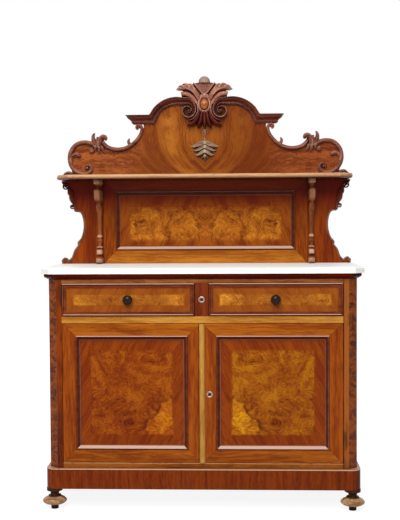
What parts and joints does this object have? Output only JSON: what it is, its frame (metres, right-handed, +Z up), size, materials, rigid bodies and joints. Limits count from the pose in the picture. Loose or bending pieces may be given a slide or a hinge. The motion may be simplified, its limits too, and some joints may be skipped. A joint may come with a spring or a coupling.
{
  "type": "credenza",
  "caption": "Marble-topped veneered cupboard with hinged doors, frieze drawers, a shelved gallery on the top and a carved swan-neck crest, standing on turned feet.",
  "frame": {"origin": "on the floor, in the middle of the part's width and depth", "axes": "+X to the right as seen from the front, +Y to the back (towards the wall), +Z up"},
  "size_m": [1.334, 0.511, 1.843],
  "materials": {
    "walnut": "french polished veneer",
    "burl_walnut": "french polished burl veneer",
    "red_walnut": "polished, stained",
    "carved_walnut": "polished carving",
    "plain_oak": "unpolished",
    "marble": "honed",
    "ebonised": "gloss",
    "brass": "worn",
    "iron": "dull"
  },
  "bodies": {
    "carcass": {"front_feet": "walnut", "plinth_corner_blocks": "walnut", "plinth_frame": "walnut", "corner_posts": "walnut", "side_panels": "walnut", "middle_rail": "walnut", "top_rail": "walnut", "drawer_muntin": "walnut", "gallery_frame": "walnut", "right_wing": "walnut", "left_wing": "walnut", "gallery_shelf": "walnut", "gallery_panel": "burl_walnut", "crest_board": "burl_walnut", "top_moulding": "red_walnut", "gallery_moulding": "red_walnut", "right_bracket": "carved_walnut", "left_bracket": "carved_walnut", "crest_cornice": "carved_walnut", "crest_scrolls": "carved_walnut", "crest_leaves": "carved_walnut", "crest_cartouche": "carved_walnut", "crest_cabochon": "carved_walnut", "crest_pendant": "carved_walnut", "back_feet": "plain_oak", "bottom_board": "plain_oak", "rear_posts": "plain_oak", "back_boards": "plain_oak", "drawer_runners": "plain_oak", "shelf_battens": "plain_oak", "inner_shelf": "plain_oak", "carcass_top": "plain_oak", "marble_top": "marble", "drawer_lock_escutcheon": "brass", "door_pivot_pins": "iron", "drawer_lock_case": "iron"},
    "left_door": {"left_door_frame": "walnut", "left_door_panel": "burl_walnut", "left_door_moulding": "red_walnut", "left_door_sockets": "iron"},
    "right_door": {"right_door_frame": "walnut", "right_door_panel": "burl_walnut", "right_door_moulding": "red_walnut", "right_door_sockets": "iron", "closing_strip": "walnut", "door_lock_case": "iron", "door_lock_escutcheon": "brass"},
    "door_bolt": {"door_lock_bolt": "iron"},
    "left_drawer": {"left_drawer_front": "burl_walnut", "left_drawer_box": "plain_oak", "left_drawer_bottom": "plain_oak", "left_drawer_moulding": "red_walnut", "left_drawer_knob": "ebonised"},
    "right_drawer": {"right_drawer_front": "burl_walnut", "right_drawer_box": "plain_oak", "right_drawer_bottom": "plain_oak", "right_drawer_moulding": "red_walnut", "right_drawer_knob": "ebonised"},
    "left_lock_bolt": {"left_drawer_lock_bolt": "iron"},
    "right_lock_bolt": {"right_drawer_lock_bolt": "iron"}
  },
  "joints": [
    {"name": "left_door_hinge", "type": "hinge", "parent": "carcass", "child": "left_door", "pos_m": [-0.563, -0.2135, 0.484], "axis": [0, 0, -1], "range_deg": [0, 100]},
    {"name": "right_door_hinge", "type": "hinge", "parent": "carcass", "child": "right_door", "pos_m": [0.563, -0.2135, 0.484], "axis": [0, 0, 1], "range_deg": [0, 100]},
    {"name": "door_bolt_slide", "type": "slide", "parent": "right_door", "child": "door_bolt", "axis": [-1, 0, 0], "range_m": [0, 0.009]},
    {"name": "left_drawer_slide", "type": "slide", "parent": "carcass", "child": "left_drawer", "axis": [0, -1, 0], "range_m": [0, 0.3]},
    {"name": "right_drawer_slide", "type": "slide", "parent": "carcass", "child": "right_drawer", "axis": [0, -1, 0], "range_m": [0, 0.3]},
    {"name": "left_lock_bolt_slide", "type": "slide", "parent": "carcass", "child": "left_lock_bolt", "axis": [-1, 0, 0], "range_m": [0, 0.006]},
    {"name": "right_lock_bolt_slide", "type": "slide", "parent": "carcass", "child": "right_lock_bolt", "axis": [1, 0, 0], "range_m": [0, 0.006]}
  ],
  "couplings": [
    {"joint": "right_lock_bolt_slide", "follows": "left_lock_bolt_slide", "ratio": 1}
  ]
}
